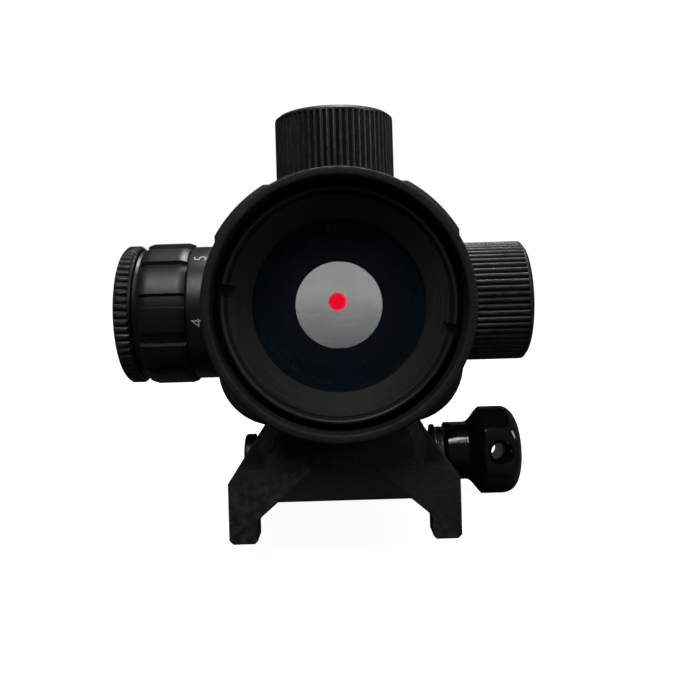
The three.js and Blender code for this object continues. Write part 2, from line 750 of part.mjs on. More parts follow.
// A domed hexagonal head on a round collar, with a cross hole for a tightening pin. One
// flat faces the user, turned a little upwards, and the hole runs square through it.
function thumbNut() {
  const { start, end, acrossFlats, headRadius, flatAngle } = NUT;
  const bore = CLAMP.boltRadius + GAP;
  const flareStart = start + 3.5;
  const flareEnd = start + 6.2;
  const flare = [0, 0.33, 0.67, 1].map((t) => [
    THREE.MathUtils.lerp(NUT.collarRadius, headRadius, t * t),
    THREE.MathUtils.lerp(flareStart, flareEnd, t),
  ]);
  const round = turned([
    [bore, start], [NUT.collarRadius - 0.3, start], [NUT.collarRadius, start + 0.3], ...flare,
    [headRadius, end - 2.9], [7, end - 1.9], [5.7, end - 0.8], [3.4, end - 0.2],
    [0, end], [0, NUT.boreEnd], [bore, NUT.boreEnd],
  ]);
  const hexagon = rod(acrossFlats / 2 / Math.cos(Math.PI / 6), start - 1, end + 1, 6);
  const crossHole = rod(NUT.crossHoleRadius, -12, 12).rotate([90, 0, 0]);
  const drilled = round.intersect(hexagon.rotate([0, flatAngle, 0]))
    .subtract(crossHole.rotate([0, 90 + flatAngle, 0]).translate([0, NUT.crossHole, 0]));
  return node('thumb_nut', drilled, enamel);
}

// ---- assembly -----------------------------------------------------------------------

const optical = group([0, 0, AXIS_HEIGHT], [0, 0, 0],
  mainBody(), ocularEnd(), objectiveHousing(), innerAssembly());

const clampAxis = group([0, CLAMP.y, CLAMP.z], [0, 0, -Math.PI / 2],
  clampBolt(), flatWasher(), lockWasher(), thumbNut());

const base = group([0, 0, 0], [0, 0, 0],
  railBase(), BASE_SCREWS.map((y, i) => baseScrew(i + 1, y)), clampJaw());

const sight = new THREE.Group();
sight.add(
  optical,
  turret('elevation', [Math.PI / 2, 0, 0], TURRET.elevationEnd),
  turret('windage', [0, 0, -Math.PI / 2], TURRET.windageEnd),
  brightnessGroup(),
  base,
  clampAxis,
);

export default sight;
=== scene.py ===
"""The looks of a tube-type red dot sight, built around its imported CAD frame.

Metres, +Z up, +Y from the eyepiece towards the target, +X to the user's right. The optical
axis runs along Y; the turrets' and the dial's axes cross it at y = 0.
"""

import json
import math

import bmesh
import bpy
from mathutils import Matrix, Vector


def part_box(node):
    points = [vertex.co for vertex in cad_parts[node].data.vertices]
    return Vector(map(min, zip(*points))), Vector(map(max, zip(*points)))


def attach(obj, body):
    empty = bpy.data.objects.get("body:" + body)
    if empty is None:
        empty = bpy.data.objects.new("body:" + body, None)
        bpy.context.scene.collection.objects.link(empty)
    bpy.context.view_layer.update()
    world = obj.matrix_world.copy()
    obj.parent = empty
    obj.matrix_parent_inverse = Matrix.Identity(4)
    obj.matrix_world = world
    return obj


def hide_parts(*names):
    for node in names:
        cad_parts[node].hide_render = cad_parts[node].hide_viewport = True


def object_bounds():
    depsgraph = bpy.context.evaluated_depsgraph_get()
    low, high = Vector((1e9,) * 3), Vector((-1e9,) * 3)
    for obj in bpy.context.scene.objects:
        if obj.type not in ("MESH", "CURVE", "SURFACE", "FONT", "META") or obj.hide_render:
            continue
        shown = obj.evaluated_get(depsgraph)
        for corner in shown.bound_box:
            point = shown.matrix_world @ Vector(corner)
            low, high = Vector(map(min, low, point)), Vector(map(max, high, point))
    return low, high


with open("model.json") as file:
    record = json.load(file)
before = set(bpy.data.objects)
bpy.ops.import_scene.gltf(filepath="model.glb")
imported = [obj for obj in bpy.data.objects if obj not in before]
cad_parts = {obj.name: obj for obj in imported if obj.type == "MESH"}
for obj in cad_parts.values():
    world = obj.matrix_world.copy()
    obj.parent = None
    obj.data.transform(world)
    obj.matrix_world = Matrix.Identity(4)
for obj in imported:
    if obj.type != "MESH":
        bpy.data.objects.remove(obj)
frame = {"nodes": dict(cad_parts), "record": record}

cad_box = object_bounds()

MM = 0.001
GAP = 0.3 * MM
TUBE_BORE = 14.2 * MM  # inside radius of the body and the front housing
CLEAR = 11.2 * MM  # radius of the clear opening through the lenses
FINE = 192  # sides of a large round part
ROUND = 96  # sides of a small round part
ON_AXIS = 1e-8


# ---- places, read from the frame ------------------------------------------------------

def middle(node):
    low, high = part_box(node)
    return (low + high) / 2


def size(node):
    low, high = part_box(node)
    return high - low


AXIS_HEIGHT = middle("objective_housing").z
OPTICAL_AXIS = Vector((0, 0, AXIS_HEIGHT))
DIAL_AXIS = Vector((0, 0, middle("battery").z))
CLAMP_AXIS = Vector((0, middle("clamp_bolt").y, middle("clamp_bolt").z))
ALONG_Y = Matrix.Identity(3)
ALONG_Z = Matrix.Rotation(math.radians(90), 3, "X")
ALONG_X = Matrix.Rotation(math.radians(-90), 3, "Z")
ALONG_MINUS_X = Matrix.Rotation(math.radians(90), 3, "Z")


# ---- shader nodes ---------------------------------------------------------------------

def noise(tree, scale, detail=4.0, stretch=(1, 1, 1)):
    place = tree.nodes.new("ShaderNodeTexCoord")
    mapping = tree.nodes.new("ShaderNodeMapping")
    mapping.inputs["Scale"].default_value = stretch
    texture = tree.nodes.new("ShaderNodeTexNoise")
    texture.inputs["Scale"].default_value = scale
    texture.inputs["Detail"].default_value = detail
    tree.links.new(place.outputs["Object"], mapping.inputs["Vector"])
    tree.links.new(mapping.outputs[0], texture.inputs["Vector"])
    return texture.outputs["Fac"]


def ramp(tree, value, low, high, out_low, out_high):
    node = tree.nodes.new("ShaderNodeMapRange")
    node.inputs["From Min"].default_value = low
    node.inputs["From Max"].default_value = high
    node.inputs["To Min"].default_value = out_low
    node.inputs["To Max"].default_value = out_high
    tree.links.new(value, node.inputs["Value"])
    return node.outputs[0]


def times(tree, a, b):
    node = tree.nodes.new("ShaderNodeMath")
    node.operation = "MULTIPLY"
    tree.links.new(a, node.inputs[0])
    tree.links.new(b, node.inputs[1])
    return node.outputs[0]


def mixed(tree, factor, first, second):
    node = tree.nodes.new("ShaderNodeMix")
    node.data_type = "RGBA"
    tree.links.new(factor, node.inputs["Factor"])
    for socket, colour in ((node.inputs[6], first), (node.inputs[7], second)):
        if isinstance(colour, tuple):
            socket.default_value = (*colour, 1)
        else:
            tree.links.new(colour, socket)
    return node.outputs[2]


# ---- camera, light and floor ----------------------------------------------------------

EYE_DISTANCE = 137 * MM  # from the plane of the turrets
SENSOR_WIDTH = 36  # the camera's own millimetres
FOCAL_IN_WIDTHS = 1.0957  # focal length over the picture's width
LENS_SHIFT = (0.0157, -0.0643)
ROLL = math.radians(-1.7)  # the sight leans a little on its nut


def make_camera():
    data = bpy.data.cameras.new("camera")
    data.sensor_width = SENSOR_WIDTH
    data.lens = SENSOR_WIDTH * FOCAL_IN_WIDTHS
    data.shift_x, data.shift_y = LENS_SHIFT
    data.clip_start = 5 * MM
    camera = bpy.data.objects.new("camera", data)
    bpy.context.scene.collection.objects.link(camera)
    look = Matrix.Rotation(math.radians(90), 4, "X") @ Matrix.Rotation(ROLL, 4, "Z")
    camera.matrix_world = Matrix.Translation((0, -EYE_DISTANCE, AXIS_HEIGHT)) @ look
    bpy.context.scene.camera = camera


def area_light(name, place, target, width, power):
    data = bpy.data.lights.new(name, "AREA")
    data.size = width
    data.energy = power
    light = bpy.data.objects.new(name, data)
    light.location = place
    aim = Vector(target) - Vector(place)
    light.rotation_euler = aim.to_track_quat("-Z", "Y").to_euler()
    light.visible_camera = False
    bpy.context.scene.collection.objects.link(light)


def make_lights():
    target = (0, 0, AXIS_HEIGHT)
    area_light("key", (-0.08, -0.34, 0.42), target, 0.22, 1.3)
    area_light("top", (0.05, 0.10, 0.55), target, 0.16, 2.2)
    area_light("side", (0.5, -0.25, 0.25), target, 0.2, 0.6)


def seen_or_unseen(tree, seen, unseen):
    """Mixes what the lens sees with what lights the object."""
    path = tree.nodes.new("ShaderNodeLightPath")
    mix = tree.nodes.new("ShaderNodeMixShader")
    tree.links.new(path.outputs["Is Camera Ray"], mix.inputs[0])
    tree.links.new(unseen, mix.inputs[1])
    tree.links.new(seen, mix.inputs[2])
    return mix.outputs[0]


def make_world():
    world = bpy.data.worlds.new("studio")
    world.use_nodes = True
    tree = world.node_tree
    white = tree.nodes["Background"]
    white.inputs["Color"].default_value = (1, 1, 1, 1)
    dim = tree.nodes.new("ShaderNodeBackground")
    dim.inputs["Color"].default_value = (0.9, 0.95, 1, 1)
    dim.inputs["Strength"].default_value = 0.06
    out = seen_or_unseen(tree, white.outputs[0], dim.outputs[0])
    tree.links.new(out, tree.nodes["World Output"].inputs["Surface"])
    bpy.context.scene.world = world
    bpy.context.scene.view_settings.view_transform = "Standard"


def make_floor():
    reach = 3.0
    z = cad_box[0][2]
    mesh = bpy.data.meshes.new("floor")
    corners = [(-reach, -reach, z), (reach, -reach, z), (reach, reach, z), (-reach, reach, z)]
    mesh.from_pydata(corners, [], [(0, 1, 2, 3)])
    material = bpy.data.materials.new("floor")
    material.use_nodes = True
    tree = material.node_tree
    pale = tree.nodes["Principled BSDF"]
    pale.inputs["Base Color"].default_value = (0.5, 0.5, 0.5, 1)
    pale.inputs["Roughness"].default_value = 1
    pale.inputs["Specular IOR Level"].default_value = 0
    pale.inputs["Emission Color"].default_value = (1, 1, 1, 1)
    spot = tree.nodes.new("ShaderNodeTexCoord")
    length = tree.nodes.new("ShaderNodeVectorMath")
    length.operation = "LENGTH"
    tree.links.new(spot.outputs["Object"], length.inputs[0])
    glow = ramp(tree, length.outputs["Value"], 0.05, 0.4, 0.96, 1.0)
    tree.links.new(glow, pale.inputs["Emission Strength"])
    dark = tree.nodes.new("ShaderNodeBsdfDiffuse")
    dark.inputs["Color"].default_value = (0.05, 0.05, 0.05, 1)
    out = seen_or_unseen(tree, pale.outputs[0], dark.outputs[0])
    tree.links.new(out, tree.nodes["Material Output"].inputs["Surface"])
    mesh.materials.append(material)
    floor = bpy.data.objects.new("floor", mesh)
    bpy.context.scene.collection.objects.link(floor)


make_camera()
make_lights()
make_world()
make_floor()


# ---- materials ------------------------------------------------------------------------

def bump(tree, shader, height, depth, strength, below=None):
    node = tree.nodes.new("ShaderNodeBump")
    node.inputs["Distance"].default_value = depth
    node.inputs["Strength"].default_value = strength
    tree.links.new(height, node.inputs["Height"])
    if below:
        tree.links.new(below, node.inputs["Normal"])
    tree.links.new(node.outputs[0], shader.inputs["Normal"])
    return node.outputs[0]


def finish(name, colour, metallic=0.0, specular=0.5, coat=0.0):
    material = bpy.data.materials.new(name)
    material.use_nodes = True
    shader = material.node_tree.nodes["Principled BSDF"]
    shader.inputs["Base Color"].default_value = (*colour, 1)
    shader.inputs["Metallic"].default_value = metallic
    shader.inputs["Specular IOR Level"].default_value = specular
    shader.inputs["Coat Weight"].default_value = coat
    return material, material.node_tree, shader


def worn_finish(name, colour, worn, rough, grain, grain_depth, wear=(0.52, 0.60),
                metallic=0.0, specular=0.5, coat=0.0, stretch=(1, 1, 1)):
    """A dark finish with grain, uneven sheen, faint dust and bare metal showing on edges.

    rough is the (least, most) roughness; grain is the noise scale per metre.
    """
    material, tree, shader = finish(name, colour, metallic, specular, coat)
    shape = tree.nodes.new("ShaderNodeNewGeometry")
    blotches = noise(tree, 260, 3)
    edges = ramp(tree, shape.outputs["Pointiness"], wear[0], wear[1], 0, 1)
    patchy = ramp(tree, noise(tree, 900, 5), 0.42, 0.62, 0, 1)
    rubbed = times(tree, edges, patchy)
    dusty = tuple(channel * 1.7 + 0.0006 for channel in colour)
    base = mixed(tree, ramp(tree, blotches, 0.35, 0.7, 0, 1), colour, dusty)
    tree.links.new(mixed(tree, rubbed, base, worn), shader.inputs["Base Color"])
    tree.links.new(ramp(tree, noise(tree, 1400, 4), 0.3, 0.7, *rough), shader.inputs["Roughness"])
    coarse = bump(tree, shader, noise(tree, grain, 3, stretch), grain_depth, 1)
    bump(tree, shader, noise(tree, grain * 4, 2, stretch), grain_depth * 0.3, 0.6, coarse)
    return material


def turned_finish(name, colour, rough, axis, metallic=0.0, specular=0.5, depth=0.01 * MM):
    """A lathe-turned or brushed surface: hairlines that run round the given axis (0, 1, 2)."""
    material, tree, shader = finish(name, colour, metallic, specular)
    stretch = [60, 60, 60]
    stretch[axis] = 5000
    lines = noise(tree, 1, 3, tuple(stretch))
    tone = mixed(tree, ramp(tree, lines, 0.3, 0.7, 0, 1), colour, tuple(c * 1.5 for c in colour))
    tree.links.new(tone, shader.inputs["Base Color"])
    tree.links.new(ramp(tree, lines, 0.3, 0.7, *rough), shader.inputs["Roughness"])
    bump(tree, shader, lines, depth, 0.8)
    return material


def lens_finish():
    """Coated glass: nearly clear, with a faint blue tint and light smudges."""
    material, tree, shader = finish("coated_glass", (0.02, 0.05, 0.08), 0, 0.5, 0.3)
    shader.inputs["Roughness"].default_value = 0.03
    shader.inputs["IOR"].default_value = 1.5
    smudge = ramp(tree, noise(tree, 160, 3), 0.35, 0.75, 0.10, 0.14)
    tree.links.new(smudge, shader.inputs["Alpha"])
    return material


def reflector_finish():
    """The front lens's half-mirror coating, with painted shade: it lets less of the white background
    through towards the bottom.
    """
    material, tree, shader = finish("reflector_coating_painted_shade", (0.030, 0.036, 0.030), 0, 0.4)
    shader.inputs["Roughness"].default_value = 0.05
    place = tree.nodes.new("ShaderNodeTexCoord")
    split = tree.nodes.new("ShaderNodeSeparateXYZ")
    tree.links.new(place.outputs["Object"], split.inputs[0])
    lens_radius = size("reflector_lens_rear").z / 2
    low, high = AXIS_HEIGHT - lens_radius, AXIS_HEIGHT + 0.2 * lens_radius
    # painted shade: more opaque low down, so the view through the tube darkens downwards
    alpha = ramp(tree, split.outputs["Z"], low, high, 0.66, 0.36)
    tree.links.new(alpha, shader.inputs["Alpha"])
    return material


def dot_finish(radius, core):
    """The glowing dot: a solid core and a soft halo that fades to nothing at the rim."""
    material, tree, shader = finish("red_dot", (0.0, 0.0, 0.0), 0, 0)
    shader.inputs["Roughness"].default_value = 1
    shader.inputs["Emission Color"].default_value = (1, 0.0, 0.02, 1)
    shader.inputs["Emission Strength"].default_value = 1.0
    place = tree.nodes.new("ShaderNodeTexCoord")
    centre = tree.nodes.new("ShaderNodeVectorMath")
    centre.operation = "DISTANCE"
    centre.inputs[1].default_value = (*DOT_CENTRE,)
    tree.links.new(place.outputs["Object"], centre.inputs[0])
    alpha = ramp(tree, centre.outputs["Value"], core, radius, 1, 0)
    tree.links.new(alpha, shader.inputs["Alpha"])
    return material


def glow_finish(name, colour, strength):
    material, tree, shader = finish(name, colour)
    shader.inputs["Emission Color"].default_value = (*colour, 1)
    shader.inputs["Emission Strength"].default_value = strength
    tree.links.new(ramp(tree, noise(tree, 3000), 0.3, 0.7, 0.3, 0.5), shader.inputs["Roughness"])
    return material


def board_finish():
    """Green solder mask with lighter tracks."""
    material, tree, shader = finish("circuit_board", (0.01, 0.09, 0.03))
    tracks = ramp(tree, noise(tree, 700, 0, (1, 0.3, 3)), 0.5, 0.54, 0, 1)
    tree.links.new(mixed(tree, tracks, (0.01, 0.09, 0.03), (0.03, 0.2, 0.07)),
                   shader.inputs["Base Color"])
    tree.links.new(ramp(tree, noise(tree, 2000), 0.3, 0.7, 0.3, 0.5), shader.inputs["Roughness"])
    return material


def grained_finish(name, colour, rough, grain, depth, metallic=0.0):
    """A plain moulded or drawn surface with a little grain."""
    material, tree, shader = finish(name, colour, metallic)
    texture = noise(tree, grain, 4)
    tone = mixed(tree, ramp(tree, texture, 0.3, 0.7, 0, 1), colour, tuple(c * 1.4 for c in colour))
    tree.links.new(tone, shader.inputs["Base Color"])
    tree.links.new(ramp(tree, texture, 0.3, 0.7, *rough), shader.inputs["Roughness"])
    bump(tree, shader, texture, depth, 0.7)
    return material


BARE_METAL = (0.10, 0.10, 0.098)
cast_black = worn_finish("cast_black", (0.0075, 0.0075, 0.0073), (0.035, 0.035, 0.033),
                         (0.55, 0.8), 1500, 0.10 * MM, specular=0.32)
ridged_black = worn_finish("ridged_black", (0.006, 0.006, 0.006), BARE_METAL,
                           (0.3, 0.5), 2600, 0.02 * MM, wear=(0.53, 0.62), specular=0.5)
dial_black = worn_finish("dial_black", (0.006, 0.006, 0.0062), (0.05, 0.05, 0.05),
                         (0.34, 0.42), 2600, 0.003 * MM, wear=(0.55, 0.66), specular=0.4,
                         stretch=(6, 1, 1))
enamel = worn_finish("gloss_enamel", (0.0035, 0.0033, 0.0033), (0.02, 0.02, 0.02),
                     (0.08, 0.2), 700, 0.01 * MM, wear=(0.6, 0.75), specular=0.5, coat=0.6)
ring_black = turned_finish("turned_black", (0.009, 0.009, 0.0095), (0.35, 0.55), 1, 0, 0.45)
tube_black = turned_finish("tube_black", (0.005, 0.005, 0.006), (0.7, 0.85), 1, 0, 0.12)
black_steel = grained_finish("black_steel", (0.02, 0.02, 0.021), (0.28, 0.45), 1800, 0.01 * MM, 0.6)
bright_steel = turned_finish("bright_steel", (0.42, 0.42, 0.41), (0.2, 0.38), 0, 1.0)
brass = turned_finish("brass", (0.48, 0.30, 0.10), (0.22, 0.4), 2, 1.0)
rubber = grained_finish("rubber", (0.008, 0.008, 0.008), (0.75, 0.95), 3000, 0.01 * MM)
plastic = grained_finish("plastic", (0.012, 0.012, 0.013), (0.5, 0.7), 2500, 0.01 * MM)
flex_film = grained_finish("flex_film", (0.35, 0.13, 0.02), (0.25, 0.4), 1200, 0.005 * MM)
numeral_paint = grained_finish("numeral_paint", (0.45, 0.45, 0.43), (0.6, 0.8), 4000, 0.01 * MM)
lens_glass = lens_finish()
reflector_glass = reflector_finish()
led_red = glow_finish("led_red", (1, 0.02, 0.02), 0.1)
circuit_board = board_finish()

LOOK_OF_SLOT = {
    "cast_black": cast_black, "anodised_black": dial_black, "gloss_black": enamel,
    "black_steel": black_steel, "bright_steel": bright_steel, "brass": brass,
    "rubber": rubber, "plastic": plastic, "coated_glass": lens_glass,
    "circuit_board": circuit_board, "flex_film": flex_film, "led_red": led_red,
}
SLOT_OF_NODE = {part["node"]: part["material_slot"] for part in frame["record"]["subparts"]}


def dress_frame():
    for name, node in frame["nodes"].items():
        node.data.materials.clear()
        node.data.materials.append(LOOK_OF_SLOT[SLOT_OF_NODE[name]])


dress_frame()


# ---- shapes ---------------------------------------------------------------------------

def body_of_node(name):
    for body, nodes in frame["record"]["behaviour"]["bodies"].items():
        if name in nodes:
            return body
    raise ValueError(name)


def place(piece, material, node, replaces=True, slot=None):
    """Gives a finished piece its material, its body and what it stands for."""
    piece.data.materials.clear()
    piece.data.materials.append(material)
    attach(piece, body_of_node(node))
    if replaces:
        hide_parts(node)
    return piece


def mesh_object(name, vertices, faces, sharp=32):
    mesh = bpy.data.meshes.new(name)
    mesh.from_pydata([tuple(v) for v in vertices], [], faces)
    work = bmesh.new()
    work.from_mesh(mesh)
    bmesh.ops.remove_doubles(work, verts=work.verts, dist=1e-7)
    bmesh.ops.recalc_face_normals(work, faces=work.faces)
    work.to_mesh(mesh)
    work.free()
    shade(mesh, sharp)
    piece = bpy.data.objects.new(name, mesh)
    bpy.context.scene.collection.objects.link(piece)
    return piece


def shade(mesh, sharp):
    mesh.shade_smooth()
    mesh.set_sharp_from_angle(angle=math.radians(sharp))


def filleted(corners, steps=4):
    """Rounds each corner (radius, height, fillet) of an outline; a fillet of 0 stays sharp."""
    points = []
    for i, (r, h, fillet) in enumerate(corners):
        if fillet == 0:
            points.append((r, h))
            continue
        here = Vector((r, h))
        back = Vector(corners[i - 1][:2]) - here
        ahead = Vector(corners[(i + 1) % len(corners)][:2]) - here
        reach = min(fillet, back.length * 0.48, ahead.length * 0.48)
        first, last = here + back.normalized() * reach, here + ahead.normalized() * reach
        for k in range(steps + 1):
            t = k / steps
            points.append(tuple(first * (1 - t) ** 2 + here * 2 * t * (1 - t) + last * t * t))
    return points


def turned(name, outline, sides=FINE, along=ALONG_Y, origin=OPTICAL_AXIS, closed=True,
           radius_at=None, sharp=32):
    """Turns an outline of (radius, height) about an axis.

    radius_at(radius, height, angle) may vary the radius round the turn, for ridges and flats.
    A closed outline makes a ring; an open one starts and ends on the axis.
    """
    vertices = []
    for r, h in outline:
        for k in range(sides):
            angle = 2 * math.pi * k / sides
            out = radius_at(r, h, angle) if radius_at else r
            vertices.append(along @ Vector((out * math.sin(angle), h, out * math.cos(angle))) + origin)
    faces = []
    rows = len(outline)
    for i in range(rows if closed else rows - 1):
        if outline[i][0] < ON_AXIS and outline[(i + 1) % rows][0] < ON_AXIS:
            continue
        a, b = i * sides, ((i + 1) % rows) * sides
        for k in range(sides):
            n = (k + 1) % sides
            faces.append((a + k, a + n, b + n, b + k))
    return mesh_object(name, vertices, faces, sharp)


def cut(piece, tools, operation="DIFFERENCE", sharp=32):
    for tool in tools:
        modifier = piece.modifiers.new("cut", "BOOLEAN")
        modifier.operation = operation
        modifier.solver = "MANIFOLD"
        modifier.object = tool
    apply_modifiers(piece)
    shade(piece.data, sharp)
    for tool in tools:
        bpy.data.objects.remove(tool)
    return piece


def apply_modifiers(piece):
    bpy.context.view_layer.update()
    graph = bpy.context.evaluated_depsgraph_get()
    done = bpy.data.meshes.new_from_object(piece.evaluated_get(graph))
    piece.modifiers.clear()
    piece.data = done


def rod(radius, low, high, along=ALONG_Y, origin=OPTICAL_AXIS, sides=ROUND):
    outline = [(0, low), (radius, low), (radius, high), (0, high)]
    return turned("tool", outline, sides, along, origin, closed=False)


def brick(low, high, turn=Matrix.Identity(3), origin=Vector()):
    """A box between two corners, turned and then moved; used as a cutting tool."""
    corners = [(x, y, z) for x in (low[0], high[0]) for y in (low[1], high[1])
               for z in (low[2], high[2])]
    faces = [(0, 1, 3, 2), (4, 6, 7, 5), (0, 4, 5, 1), (2, 3, 7, 6), (0, 2, 6, 4), (1, 5, 7, 3)]
    return mesh_object("tool", [turn @ Vector(c) + origin for c in corners], faces)


def softened_copy(node, name, width, sharp=30):
    """The CAD shape with its edges rounded, as castings and stampings are."""
    work = bmesh.new()
    work.from_mesh(frame["nodes"][node].data)
    bmesh.ops.remove_doubles(work, verts=work.verts, dist=1e-6)
    bmesh.ops.dissolve_limit(work, angle_limit=math.radians(1), verts=work.verts, edges=work.edges)
    mesh = bpy.data.meshes.new(name)
    work.to_mesh(mesh)
    work.free()
    piece = bpy.data.objects.new(name, mesh)
    bpy.context.scene.collection.objects.link(piece)
    edge = piece.modifiers.new("edge", "BEVEL")
    edge.width = width
    edge.segments = 3
    edge.limit_method = "ANGLE"
    edge.angle_limit = math.radians(sharp)
    apply_modifiers(piece)
    shade(piece.data, sharp)
    return piece


# ---- eyepiece end ---------------------------------------------------------------------

def build_ocular_housing():
    low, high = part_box("ocular_housing")
    rim = (high.z - low.z) / 2
    rear, front = low.y, high.y
    thread = 15.6 * MM
    spigot = 15.3 * MM
    seat = 12.9 * MM
    edge = 0.45 * MM
    groove = 0.5 * MM
    outline = filleted([
        (thread, rear, edge), (rim, rear, edge), (rim, rear + 5.4 * MM, 0.2 * MM),
        (rim - groove, rear + 5.8 * MM, 0.2 * MM), (rim - groove, rear + 6.8 * MM, 0.2 * MM),
        (rim, rear + 7.2 * MM, 0.2 * MM), (rim, front, 0.8 * MM), (spigot, front, 0.2 * MM),
        (spigot, -22.3 * MM, 0), (seat, -22.3 * MM, 0.2 * MM), (seat, -34.3 * MM, 0.2 * MM),
        (14.3 * MM, -34.3 * MM, 0), (14.3 * MM, -38 * MM, 0), (thread, -38 * MM, 0),
    ])
    piece = turned("ocular_housing_shell", outline)
    place(piece, cast_black, "ocular_housing")


def build_retaining_ring():
    """Bead, spanner notches and the fine anti-glare steps down to the window."""
    low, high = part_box("ocular_retaining_ring")
    outer = (high.z - low.z) / 2
    clear = CLEAR
    face = high.y
    bead = low.y
    steps = 22
    bead_start = 13.9 * MM
    cone = 3.6 * MM
    inside = [(clear, face), (clear, face - 0.35 * MM)]
    for i in range(steps):
        t = i / steps
        r = clear + (bead_start - clear) * t
        h = face - 0.4 * MM - cone * t
        inside.append((r, h))
        inside.append((r + 0.02 * MM, h - cone / steps * 0.85))
    bead_points = filleted([
        (bead_start, bead + 0.9 * MM, 0), (14.2 * MM, bead, 0.4 * MM),
        (14.65 * MM, bead, 0.5 * MM), (15 * MM, bead + 1.6 * MM, 0.2 * MM),
        (outer, bead + 2 * MM, 0.1 * MM), (outer, face, 0.1 * MM),
    ])
    ring = turned("retaining_ring", inside + bead_points, sharp=25)
    width = 0.75 * MM
    notch_low = (13.1 * MM, bead - MM, -width)
    notch_high = (16 * MM, bead + 1.9 * MM, width)
    tools = []
    for degrees in (-171, 14):
        turn = Matrix.Rotation(math.radians(degrees), 3, "Y")
        tools.append(brick(notch_low, notch_high, turn, OPTICAL_AXIS))
    place(cut(ring, tools, sharp=25), ring_black, "ocular_retaining_ring")


def build_window():
    low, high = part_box("ocular_lens")
    radius = (high.z - low.z) / 2
    outline = filleted([
        (0, low.y, 0), (radius, low.y, 0.3 * MM), (radius, high.y, 0.3 * MM), (0, high.y, 0),
    ])
    window = turned("ocular_window", outline, closed=False)
    place(window, lens_glass, "ocular_lens")


# ---- tube and front end ---------------------------------------------------------------

def housing_ring(inset, y):
    """The turret housing's outline at one station, drawn in by inset."""
    low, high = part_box("main_body")
    flat = (high.x - low.x) / 2 - inset
    outer = 23 * MM - inset
    bottom = low.z + inset - AXIS_HEIGHT
    corner = 9.3 * MM - inset
    arc = math.acos(flat / outer)
    steps = 12
    points = []

    def sweep(cx, cz, radius, start, end):
        for k in range(steps + 1):
            angle = start + (end - start) * k / steps
            points.append((cx + radius * math.cos(angle), cz + radius * math.sin(angle)))

    sweep(flat - corner, bottom + corner, corner, -math.pi / 2, 0)
    sweep(0, 0, outer, arc, math.pi / 2 - arc)
    sweep(0, 0, outer, math.pi / 2 + arc, math.pi - arc)
    sweep(corner - flat, bottom + corner, corner, math.pi, 1.5 * math.pi)
    return [Vector((x, y, z + AXIS_HEIGHT)) for x, z in points]


def build_main_body():
    half = 14 * MM
    edge = 0.9 * MM
    stations = []
    for k in range(5):
        angle = math.radians(90 * k / 4)
        stations.append((edge * (1 - math.sin(angle)), -half + edge * (1 - math.cos(angle))))
    stations += [(inset, -y) for inset, y in reversed(stations)]
    rings = [housing_ring(inset, y) for inset, y in stations]
    count = len(rings[0])
    vertices = [v for ring in rings for v in ring]
    faces = [tuple(range(count)), tuple(range(len(vertices) - count, len(vertices)))]
    for i in range(len(rings) - 1):
        for k in range(count):
            n = (k + 1) % count
            a, b = i * count, (i + 1) * count
            faces.append((a + k, a + n, b + n, b + k))
    body = mesh_object("turret_housing", vertices, faces)
    barrel_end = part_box("objective_housing")[0].y - GAP
    rear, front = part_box("main_body")[0].y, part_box("main_body")[1].y
    spigot, barrel = 15 * MM, 16.2 * MM
    barrel = turned("barrel", filleted([
        (0, rear, 0), (spigot, rear, 0.3 * MM), (spigot, 0, 0), (barrel, 0, 0),
        (barrel, barrel_end, 0.5 * MM), (spigot, barrel_end, 0), (spigot, front, 0.3 * MM),
        (0, front, 0),
    ]), closed=False)
    cut(body, [barrel], "UNION")
    hole, rear_bore = 6.9 * MM, 13.2 * MM
    side = size("main_body").x
    bore = turned("tool", [
        (0, rear - MM), (rear_bore, rear - MM), (rear_bore, -10 * MM), (TUBE_BORE, -10 * MM),
        (TUBE_BORE, front + MM), (0, front + MM),
    ], closed=False)
    tools = [
        bore, rod(hole, 0, side, ALONG_Z), rod(hole, 0, side, ALONG_X),
        rod(2.5 * MM, 0, side, ALONG_MINUS_X, DIAL_AXIS),
    ]
    place(cut(body, tools), cast_black, "main_body")


def build_objective_housing():
    low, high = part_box("objective_housing")
    rim = (high.z - low.z) / 2
    rear, front = low.y, high.y
    groove = 0.5 * MM
    bore = TUBE_BORE
    spigot = 15.3 * MM
    outline = filleted([
        (spigot, rear, 0.2 * MM), (rim, rear, 1.0 * MM), (rim, front - 9 * MM, 0.2 * MM),
        (rim - groove, front - 8.6 * MM, 0.2 * MM), (rim - groove, front - 7.4 * MM, 0.2 * MM),
        (rim, front - 7 * MM, 0.2 * MM), (rim, front, 0.5 * MM), (15.4 * MM, front, 0.4 * MM),
        (bore, front - 2.5 * MM, 0.2 * MM), (bore, 46 * MM, 0), (spigot, 46 * MM, 0),
    ])
    place(turned("objective_shell", outline), cast_black, "objective_housing")


def build_inner_tube():
    low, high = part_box("inner_tube")
    head = (high.z - low.z) / 2
    bore, wall, seat = CLEAR, 12.2 * MM, 12.6 * MM
    outline = filleted([
        (bore, low.y, 0.25 * MM), (wall, low.y, 0.25 * MM), (wall, 53.5 * MM, 0),
        (head, 54.5 * MM, 0), (head, high.y, 0.2 * MM), (seat, high.y, 0.2 * MM),
        (seat, 55.1 * MM, 0), (bore, 55.1 * MM, 0),
    ])
    place(turned("erector_tube", outline), tube_black, "inner_tube")


def lens_outline(node, sphere=116 * MM, rings=20):
    low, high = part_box(node)
    radius = (high.z - low.z) / 2
    sag = sphere - math.sqrt(sphere ** 2 - radius ** 2)

    def face(edge_y):
        return [(radius * i / rings, edge_y + sag - (sphere - math.sqrt(
            sphere ** 2 - (radius * i / rings) ** 2))) for i in range(rings + 1)]

    return face(low.y) + face(high.y - sag)[::-1]


